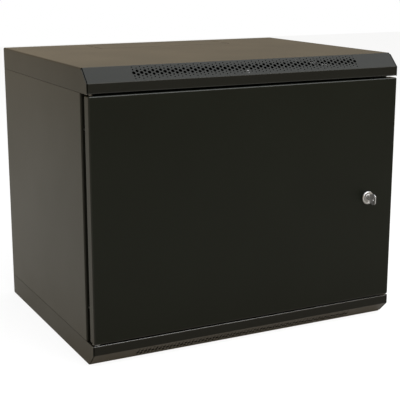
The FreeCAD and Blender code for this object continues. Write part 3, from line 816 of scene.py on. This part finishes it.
def screw_thread(shape, radius, pitch, low, high, at):
    """The skin of a thread, open at both ends, where it runs out onto a ring of the root's radius."""
    root = radius - 0.6 * pitch
    count = math.ceil(2 * (high - low) / pitch) + 5
    rows = []
    for row in range(count):
        points = []
        for step, angle in enumerate(round_angles):
            level = low + (row / 2 - 1 + step / round_steps) * pitch
            reach = radius if row % 2 and low < level < high else root
            level = min(max(level, low), high)
            points.append(shape.verts.new(at(reach * math.cos(angle), reach * math.sin(angle), level)))
        rows.append(points)
    for k in range(count - 3):
        for step in range(1, round_steps):
            shape.faces.new((rows[k][step - 1], rows[k][step], rows[k + 1][step], rows[k + 1][step - 1]))
        shape.faces.new((rows[k][-1], rows[k + 2][0], rows[k + 3][0], rows[k + 1][-1]))
    return root


def threaded_rod(shape, radius, pitch, low, high, at):
    """A stud: a thread with a turned cone at both ends."""
    tip = 0.5 * pitch
    root = screw_thread(shape, radius, pitch, low + tip, high - tip, at)
    turned(shape, [(0, low), (root - tip, low), (root, low + tip)], at)
    turned(shape, [(root, high - tip), (root - tip, high), (0, high)], at)


def hexagonal(shape, flats, low, high, at, bore=0.0):
    """A nut with a countersunk bore, or without a bore a bolt's head. Its corners lie along the first direction."""
    face = 0.47 * flats
    slope = math.tan(math.radians(30))

    def reach(angle):
        return flats / 2 / math.cos(math.remainder(angle - math.pi / 6, math.pi / 3))

    def chamfered(depth, inward):
        return [
            at(reach(a) * math.cos(a), reach(a) * math.sin(a), depth + inward * (reach(a) - face) * slope)
            for a in round_angles
        ]

    sink = 0.08 * flats if bore else 0.0
    hoops = [hoop(bore, low + sink, at), hoop(bore + sink, low, at), hoop(face, low, at), chamfered(low, 1)]
    hoops += [chamfered(high, -1), hoop(face, high, at), hoop(bore + sink, high, at), hoop(bore, high - sink, at)]
    stacked(shape, hoops + hoops[:1] if bore else hoops)


def slab(shape, outline, low, high, at):
    """A closed flat outline, low to high in thickness."""
    rows = [[shape.verts.new(at(*point, level)) for point in outline] for level in (low, high)]
    shape.faces.new(rows[0])
    shape.faces.new(rows[1])
    for k in range(len(outline)):
        shape.faces.new((rows[0][k - 1], rows[0][k], rows[1][k], rows[1][k - 1]))


def solid(shape):
    """Joins the seams of closed shells and turns their faces outward."""
    bmesh.ops.remove_doubles(shape, verts=shape.verts, dist=0.002 * mm)
    bmesh.ops.recalc_face_normals(shape, faces=shape.faces)
    return shape


print("lathe helpers ready")

# %% [markdown]
# ## The lock
#
# A cam lock is one of the few bright things here, and its rim is what catches the light. The rim is rolled over
# in a quarter circle and dished a little inside, and the barrel behind it is threaded for the nut that clamps the
# door. The plug turns inside: it is a turned core with a square tail for the cam, and its keyway is cut out with a
# Boolean, since a slot through a round face has no simple grid.

# %% Lock body, nut and plug
rim_height = door_front - lock_low.y
rim_radius = (lock_high.x - lock_low.x) / 2
barrel_end = lock_high.y - door_front
plug_low, plug_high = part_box("lock_plug")
nut_low, nut_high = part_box("lock_nut")


def on_lock(x, z, depth):
    """Beside the lock's axis, at a depth behind the door's face."""
    return (lock_x + x, door_front + depth, lock_z + z)


def arc(centre, radius, start, stop, steps=6):
    """Points of an arc, from one angle in degrees to another."""
    angles = [math.radians(start + (stop - start) * step / steps) for step in range(steps + 1)]
    return [(centre[0] + radius * math.cos(a), centre[1] + radius * math.sin(a)) for a in angles]


def lock_body():
    shape = bmesh.new()
    roll = 2.2 * mm
    bore = 7.15 * mm
    thread_low = 1.6 * mm
    thread_high = barrel_end - 0.5 * mm
    root = screw_thread(shape, 9.5 * mm, 1.0 * mm, thread_low, thread_high, on_lock)
    profile = [(root, thread_low), (9.4 * mm, 1.3 * mm), (9.4 * mm, 0), (rim_radius - 0.2 * mm, 0)]
    profile += arc((rim_radius - roll, roll - rim_height), roll, 0, -90)
    profile += [(8.6 * mm, -rim_height), (8.2 * mm, 0.3 * mm - rim_height), (bore + 0.3 * mm, 0.3 * mm - rim_height)]
    profile += [(bore, 0.6 * mm - rim_height), (bore, barrel_end - 0.3 * mm), (bore + 0.3 * mm, barrel_end)]
    profile += [(root - 0.4 * mm, barrel_end), (root, thread_high)]
    turned(shape, profile, on_lock)
    return new_object("lock_body_turned", solid(shape))


def lock_plug():
    shape = bmesh.new()
    face = plug_low.y - door_front
    shoulder = plug_high.y - door_front - 2.0 * mm
    profile = [(0, face), (6.5 * mm, face), (7.0 * mm, face + 0.4 * mm), (7.0 * mm, shoulder - 0.3 * mm)]
    profile += [(6.7 * mm, shoulder), (0, shoulder)]
    turned(shape, profile, on_lock)
    made = new_object("lock_plug_turned", solid(shape))
    square = bmesh.new()
    half, corner = 3.5 * mm, 3.0 * mm
    outline = [(half, corner), (corner, half), (-corner, half), (-half, corner)]
    outline += [(-x, -z) for x, z in outline]
    slab(square, outline, shoulder - 1 * mm, shoulder + 2.0 * mm, on_lock)
    combine(made, solid(square), "UNION")
    keyway = bmesh.new()
    half_width_of_key, half_height_of_key = 1.08 * mm, 3.83 * mm
    outline = [(-half_width_of_key, -half_height_of_key), (half_width_of_key, -half_height_of_key)]
    outline += [(half_width_of_key, half_height_of_key), (-half_width_of_key, half_height_of_key)]
    slab(keyway, outline, face - 1 * mm, 12.2 * mm, on_lock)
    combine(made, solid(keyway))
    break_edges(made, 0.15 * mm, 1.5 * mm)
    return made


def lock_nut():
    shape = bmesh.new()
    low, high = nut_low.y - door_front, nut_high.y - door_front
    hexagonal(shape, 24 * mm, low, high, on_lock, 9.58 * mm)
    return new_object("lock_nut_turned", solid(shape))


finished(lock_body(), "door", "lock_chrome", "lock_body")
finished(lock_plug(), "lock", "lock_chrome", "lock_plug")
finished(lock_nut(), "door", "zinc_plate", "lock_nut")

# %% [markdown]
# ## The key
#
# The key is stamped from sheet: a rounded bow with a hole for the ring, a neck, and a blade with four cuts in its
# lower edge. Its outline is one closed line, thickened into a slab. Then the ring hole is drilled, and a groove is
# milled along both flats of the blade.

# %% Key
key_low, key_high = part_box("lock_key")
bow_length = 16.5 * mm
bow_half = (key_high.z - key_low.z) / 2
blade_half = 3.75 * mm
key_half = (key_high.x - key_low.x) / 2
neck = key_low.y + bow_length
ring_place = (key_low.y + 4.6 * mm, lock_z)


def on_key(y, z, x):
    return (lock_x + x, y, z)


def key_shape():
    corner = 5.5 * mm
    outline = []
    outer, inner = key_low.y + corner, neck - corner
    for y, up, start in ((outer, -1, 180), (inner, -1, 270), (inner, 1, 0), (outer, 1, 90)):
        centre = (y, lock_z + up * (bow_half - corner))
        outline += arc(centre, corner, start, start + 90)
        if start == 270:
            outline += blade_line()
    shape = bmesh.new()
    slab(shape, outline, -key_half, key_half, on_key)
    made = new_object("key_stamped", solid(shape))
    drill = bmesh.new()
    turned(drill, [(0, -2 * mm), (2.3 * mm, -2 * mm), (2.3 * mm, 2 * mm), (0, 2 * mm)], on_ring)
    combine(made, solid(drill))
    for side in (-1, 1):
        milled = bmesh.new()
        groove = [(neck - 0.5 * mm, -0.2 * mm), (key_high.y + 1 * mm, -0.2 * mm)]
        groove += [(key_high.y + 1 * mm, 1.1 * mm), (neck - 0.5 * mm, 1.1 * mm)]
        groove = [(y, lock_z + z) for y, z in groove]
        slab(milled, groove, side * (key_half - 0.35 * mm), side * (key_half + 1 * mm), on_key)
        combine(made, solid(milled))
    break_edges(made, 0.25 * mm, 0.25 * mm)
    return made


def on_ring(y, z, x):
    return (lock_x + x, ring_place[0] + y, ring_place[1] + z)


def blade_line():
    """The blade's edge, from the bow's lower corner round the tip to its upper corner."""
    low, high = lock_z - blade_half, lock_z + blade_half
    line = [(neck, low)]
    for cut in range(4):
        y = door_front + 3.6 * mm * (cut - 1)
        bottom = low + 1.6 * mm
        line += [(y - 1.7 * mm, low), (y - 0.3 * mm, bottom), (y + 0.3 * mm, bottom), (y + 1.7 * mm, low)]
    tip = key_high.y
    line += [(tip - 1.6 * mm, low), (tip, low + 2.2 * mm), (tip, high - 2.2 * mm), (tip - 1.6 * mm, high)]
    return line + [(neck, high)]


finished(key_shape(), "key", "key_nickel", "lock_key")

# %% [markdown]
# ## Hinge pins, spring and washer
#
# The upper hinge pin is sprung. Its collar sits on a coil spring, and the lever at its foot draws it down out of
# the cover when the door is lifted off. The lower pin is fixed and hangs by its head. The spring is a round wire
# swept along a helix whose first and last turns lie flat, and it is squeezed when the pin slides.

# %% Pins, washer and spring
upper_low, upper_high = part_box("upper_hinge_pin")
spring_low, spring_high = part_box("hinge_pin_spring")
washer_low, washer_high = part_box("hinge_washer")
pin_radius = 3.0 * mm
collar_radius = 5.0 * mm


def on_hinge(x, y, level):
    return (hinge_x + x, hinge_y + y, level)


def upper_pin():
    shape = bmesh.new()
    collar = (spring_high.z, spring_high.z + 2.5 * mm)
    foot = upper_low.z
    profile = [(0, foot), (2.4 * mm, foot), (pin_radius, foot + 0.6 * mm), (pin_radius, collar[0])]
    profile += [(collar_radius - 0.3 * mm, collar[0]), (collar_radius, collar[0] + 0.3 * mm)]
    profile += [(collar_radius, collar[1] - 0.3 * mm), (collar_radius - 0.3 * mm, collar[1]), (pin_radius, collar[1])]
    tip = upper_high.z
    profile += [(pin_radius, tip - 1.8 * mm)] + arc((1.2 * mm, tip - 1.8 * mm), 1.8 * mm, 0, 90) + [(0, tip)]
    turned(shape, profile, on_hinge)
    made = new_object("upper_pin_turned", solid(shape))
    lever = bmesh.new()
    end = upper_high.x - hinge_x
    profile = [(0, 0), (2.5 * mm, 0), (2.5 * mm, end - 1.5 * mm)]
    profile += arc((1.0 * mm, end - 1.5 * mm), 1.5 * mm, 0, 90) + [(0, end)]
    turned(lever, profile, lambda y, z, x: (hinge_x + x, hinge_y + y, foot + 2.5 * mm + z))
    combine(made, solid(lever), "UNION")
    return made


def lower_pin():
    shape = bmesh.new()
    head = pin_high.z - 2.5 * mm
    foot = pin_low.z
    profile = [(0, foot), (1.2 * mm, foot)] + arc((1.2 * mm, foot + 1.8 * mm), 1.8 * mm, -90, 0)[1:]
    profile += [(pin_radius, head), (collar_radius - 0.2 * mm, head), (collar_radius, head + 0.2 * mm)]
    profile += arc((collar_radius - 1.2 * mm, pin_high.z - 1.2 * mm), 1.2 * mm, 0, 90) + [(0, pin_high.z)]
    turned(shape, profile, on_hinge)
    return new_object("lower_pin_turned", solid(shape))


def washer():
    shape = bmesh.new()
    low, high = washer_low.z, washer_high.z
    inner, outer, nick = 3.08 * mm, 7.0 * mm, 0.3 * mm
    profile = [(inner, low), (outer - nick, low), (outer, low + nick), (outer, high - nick), (outer - nick, high)]
    profile += [(inner + nick, high), (inner, high - nick), (inner, low)]
    turned(shape, profile, on_hinge)
    return new_object("washer_turned", solid(shape))


def spring():
    wire = 0.4 * mm
    coil = (spring_high.x - spring_low.x) / 2 - wire
    low, high = spring_low.z + wire, spring_high.z - wire
    shares = [0.0] * 18 + [step / 120 for step in range(121)] + [1.0] * 18
    section = arc((0, 0), 1.0, 0, 324, 9)
    shape = bmesh.new()
    rows = []
    for k, share in enumerate(shares):
        bearing = 2 * math.pi * k / 24
        level = low + (high - low) * share
        out = Vector((math.cos(bearing), math.sin(bearing), 0))
        centre = Vector(on_hinge(0, 0, level)) + coil * out
        rows.append([shape.verts.new(centre + wire * (out * a + Vector((0, 0, b)))) for a, b in section])
    for first, second in zip(rows, rows[1:]):
        for step in range(10):
            shape.faces.new((first[step - 1], first[step], second[step], second[step - 1]))
    shape.faces.new(rows[0])
    shape.faces.new(rows[-1])
    return new_object("spring_coiled", solid(shape))


finished(upper_pin(), "upper_pin", "pin_steel", "upper_hinge_pin")
finished(lower_pin(), "door", "pin_steel", "lower_hinge_pin")
finished(washer(), "door", "washer_nylon", "hinge_washer")
coil_spring = finished(spring(), "door", "pin_steel", "hinge_pin_spring")
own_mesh(coil_spring)

# %% [markdown]
# ## Bolts, screws, studs and buffers
#
# Each mounting rail hangs on two bolts that run in the slots of its braces. The side panels are held by eight
# cross recessed screws with their heads inside. Two welded studs with nuts take the earth leads, and two rubber
# buffers on the right-hand return stop the door. Every one of these is turned or six-sided, and threaded where a
# thread would show.

# %% Fasteners and buffers
bolt_flats = 10.0 * mm
corner_share = 1 / math.sqrt(3)


def rail_bolts(node):
    """Two hexagon bolts with their nuts, along X, with their heads towards the middle of the cabinet."""
    low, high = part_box(node)
    side = 1 if low.x > 0 else -1
    head, tail = sorted((abs(low.x), abs(high.x)))
    y = (low.y + high.y) / 2
    height = high.z - bolt_flats * corner_share
    shape = bmesh.new()
    for centre in (-height, height):
        def on_bolt(z, across, out):
            return (side * out, y + across, centre + z)

        nut = head + 7.7 * mm
        collar, shank = head + 3.7 * mm, head + 4 * mm
        turned(shape, [(0, collar), (4.6 * mm, collar), (4.6 * mm, shank), (0, shank)], on_bolt)
        hexagonal(shape, bolt_flats, head, collar, on_bolt)
        threaded_rod(shape, 2.6 * mm, 0.8 * mm, shank, tail, on_bolt)
        hexagonal(shape, bolt_flats, nut, nut + 5 * mm, on_bolt, 2.62 * mm)
    return new_object(node + "_threaded", solid(shape))


def panel_screws():
    """Eight pan head screws with crossed recesses, along Y, with their heads inside the cabinet."""
    low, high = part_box("side_panel_screws")
    x = high.x - 7 * mm * corner_share
    height = high.z - 3.5 * mm
    arm, wide = 1.8 * mm, 0.5 * mm
    quarter = [(arm, wide), (wide, wide), (wide, arm)]
    cross = []
    for turn in range(4):
        cross += [tuple(Matrix.Rotation(turn * math.pi / 2, 2) @ Vector(point)) for point in quarter]
    shape, recess = bmesh.new(), bmesh.new()
    for skin, inward in ((low.y, 1), (high.y, -1)):
        for place in [(a, b) for a in (-x, x) for b in (-height, height)]:
            def on_screw(across, z, depth):
                return (place[0] + across, skin + inward * depth, place[1] + z)

            seat, crown = 2.7 * mm, 5.5 * mm
            profile = [(0, seat), (3.5 * mm, seat), (3.5 * mm, seat + 0.9 * mm)]
            profile += [(3.1 * mm, crown - 1.0 * mm), (2.4 * mm, crown - 0.3 * mm), (1.4 * mm, crown), (0, crown)]
            turned(shape, profile, on_screw)
            threaded_rod(shape, 1.75 * mm, 0.7 * mm, 1.2 * mm, seat, on_screw)
            slab(recess, cross, crown - 1.6 * mm, crown + 1 * mm, on_screw)
    made = new_object("side_panel_screws_turned", solid(shape))
    combine(made, solid(recess))
    return made


def stud(node, along):
    """A welded stud with a thread. along is the axis that it stands on: 1 for Y, 2 for Z."""
    low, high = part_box(node)
    shape = bmesh.new()
    threaded_rod(shape, 3.0 * mm, 1.0 * mm, low[along], high[along], beside(low, high, along))
    return new_object(node + "_threaded", solid(shape))


def stud_nut(node, along):
    low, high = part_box(node)
    shape = bmesh.new()
    hexagonal(shape, bolt_flats, low[along], high[along], beside(low, high, along), 3.08 * mm)
    return new_object(node + "_turned", solid(shape))


def beside(low, high, along):
    """The `at` of a part that stands along Y or Z in the middle of its box."""
    centre = (Vector(low) + Vector(high)) / 2
    if along == 1:
        return lambda a, b, level: (centre.x + a, level, centre.z + b)
    return lambda a, b, level: (centre.x + a, centre.y + b, level)


def cam_screw():
    low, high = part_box("cam_screw")
    head = high.y - 3.0 * mm
    at = beside(low, high, 1)
    shape = bmesh.new()
    turned(shape, [(0, head), (5.2 * mm, head), (5.2 * mm, head + 0.4 * mm), (0, head + 0.4 * mm)], at)
    hexagonal(shape, 11 * mm, head + 0.4 * mm, high.y, at)
    return new_object("cam_screw_turned", solid(shape))


def buffers():
    low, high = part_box("door_buffers")
    x = (low.x + high.x) / 2
    height = high.z - 4.0 * mm
    shape = bmesh.new()
    for centre in (-height, height):
        foot, tip = high.y, low.y
        profile = [(0, foot), (4.0 * mm, foot), (4.0 * mm, foot - 1.6 * mm), (3.5 * mm, foot - 2.6 * mm)]
        profile += [(3.5 * mm, tip + 2.4 * mm)]
        profile += [(radius, 2 * tip - depth) for radius, depth in arc((1.1 * mm, tip - 2.4 * mm), 2.4 * mm, 0, 90)]
        turned(shape, profile + [(0, tip)], lambda a, b, y: (x + a, y, centre + b))
    return new_object("door_buffers_moulded", solid(shape))


for rail in ("front_left_rail", "front_right_rail", "rear_left_rail", "rear_right_rail"):
    finished(rail_bolts(rail + "_bolts"), rail, "zinc_plate", rail + "_bolts")
finished(panel_screws(), "cabinet", "zinc_plate", "side_panel_screws")
finished(stud("earth_stud", 2), "cabinet", "zinc_plate", "earth_stud")
finished(stud_nut("earth_nut", 2), "cabinet", "zinc_plate", "earth_nut")
finished(stud("door_earth_stud", 1), "door", "zinc_plate", "door_earth_stud")
finished(stud_nut("door_earth_nut", 1), "door", "zinc_plate", "door_earth_nut")
finished(cam_screw(), "lock", "zinc_plate", "cam_screw")
finished(buffers(), "cabinet", "buffer_rubber", "door_buffers")

# %% [markdown]
# ## Floor, world and lamps
#
# A black object is drawn by what it mirrors, so the room matters more than usual. To the camera the floor and the
# world are white, which gives the white ground of a catalogue picture, and the floor keeps an eighth of its own
# pale paint there, so that the cabinet's shadow shows. Shiny pieces meet a warmer room. The world has tan walls at
# the horizon, which fade to white overhead and are a fifth brighter on the left. The floor glows warm as well,
# palest on the left, with a strip of painted shade in front of the door, standing for the cabinet's shade on the
# floor there, which the lower lip mirrors. To every other ray the floor is plain paint and the walls are at half
# strength. Two lamps light the scene: a large one overhead, like a lightbox, and a long one high up in front, which
# draws the pale lines along the folds.

# %% Floor
floor_level = cad_box[0][2]
floor_half = 6.0
floor_gap = 0.2 * mm
white = (1.0, 1.0, 1.0)
glow_left, glow_right = (1.18, 1.08, 0.85), (0.76, 0.66, 0.50)
glow_span = (-1.2, 0.4)
# Painted shade: a darker, browner strip of the floor's glow in front of the door stands for the cabinet's shade on
# the floor close to it.
painted_shade_tint = (0.71, 0.61, 0.47)
painted_shade_y = -0.52
painted_shade_span = (0.08, 0.30)
shadow_share = 0.13
mirror_share = 0.64

floor_finish = Finish("floor_paint")
floor_finish.set(base_color=(0.90, 0.90, 0.89, 1.0), roughness=0.9, specular=0.1)
seen = floor_finish.node("LightPath", output="Is Camera Ray")
mirrored = floor_finish.background_rays() - seen
x, y = (floor_finish.along(axis, floor_finish.place()) for axis in range(2))
# This mask is 0 on the strip of painted shade in front of the door and 1 away from it.
off_painted_shade = floor_finish.fade(floor_finish.absolute(y - painted_shade_y), *painted_shade_span)
glow_parts = {
    0: floor_finish.colours(glow_left, glow_right, floor_finish.fade(x, *glow_span)),
    1: floor_finish.colours(painted_shade_tint, white, off_painted_shade),
}
warm = floor_finish.node("VectorMath", {"operation": "MULTIPLY"}, glow_parts)
glow = floor_finish.node("Emission", None, {"Color": floor_finish.colours(warm, white, seen)})
own_surface = Wire(floor_finish, floor_finish.surface.outputs[0])
whiten = seen * (1 - shadow_share) + mirrored * mirror_share
mixed = floor_finish.node("MixShader", None, {0: whiten, 1: own_surface, 2: glow})
floor_finish.feed(floor_finish.tree.nodes["Material Output"].inputs["Surface"], mixed)

floor_mesh = bmesh.new()
bmesh.ops.create_grid(floor_mesh, x_segments=8, y_segments=8, size=floor_half)
floor = new_object("floor", floor_mesh)
floor.data.materials.append(floor_finish.material)
floor.location = (0.0, 0.0, floor_level - floor_gap)
print("floor at", round(floor_level, 4))

# %% World
room_grey = 0.55
wall_colour = (0.76, 0.61, 0.41)
wall_top = (0.30, 0.75)
left_span = (0.28, 0.46)
left_gain = 1.22

world = bpy.data.worlds.new("studio")
world.use_nodes = True
bpy.context.scene.world = world
room = Recipe(world.node_tree)
direction = room.node("TexCoord", output="Generated")
across, height = room.along(0, direction), room.along(2, direction)
rise = room.node("MapRange", {"interpolation_type": "SMOOTHSTEP"}, {0: height, 1: wall_top[0], 2: wall_top[1]})
seen = room.node("LightPath", output="Is Camera Ray")
colour = room.colours(room.colours(wall_colour, white, rise), white, seen)
mirrored = room.background_rays() - seen
gain = room.fade(across, *left_span, left_gain, 1.0)
level = room_grey + (1 - room_grey) * room.background_rays() + mirrored * (gain - 1)
dome = room.node("Background", None, {"Color": colour, "Strength": level})
room.feed(world.node_tree.nodes["World Output"].inputs["Surface"], dome)
bpy.context.scene.view_settings.view_transform = "Standard"
print("room grey", room_grey)

# %% Lamps


def softbox(name, place, target, width, height, power, colour):
    data = bpy.data.lights.new(name, "AREA")
    data.shape = "RECTANGLE"
    data.size = width
    data.size_y = height
    data.energy = power
    data.color = colour
    lamp = bpy.data.objects.new(name, data)
    lamp.location = place
    lamp.rotation_euler = (Vector(target) - Vector(place)).to_track_quat("-Z", "Y").to_euler()
    bpy.context.scene.collection.objects.link(lamp)


softbox("overhead_softbox", (0.5, -0.7, 2.3), (0.1, -0.3, 0.0), 3.0, 3.0, 104.0, (0.90, 0.95, 1.0))
softbox("front_strip", (0.5, -2.7, 2.2), (0.0, -0.45, 0.1), 4.0, 0.8, 150.0, (1.0, 1.0, 1.0))
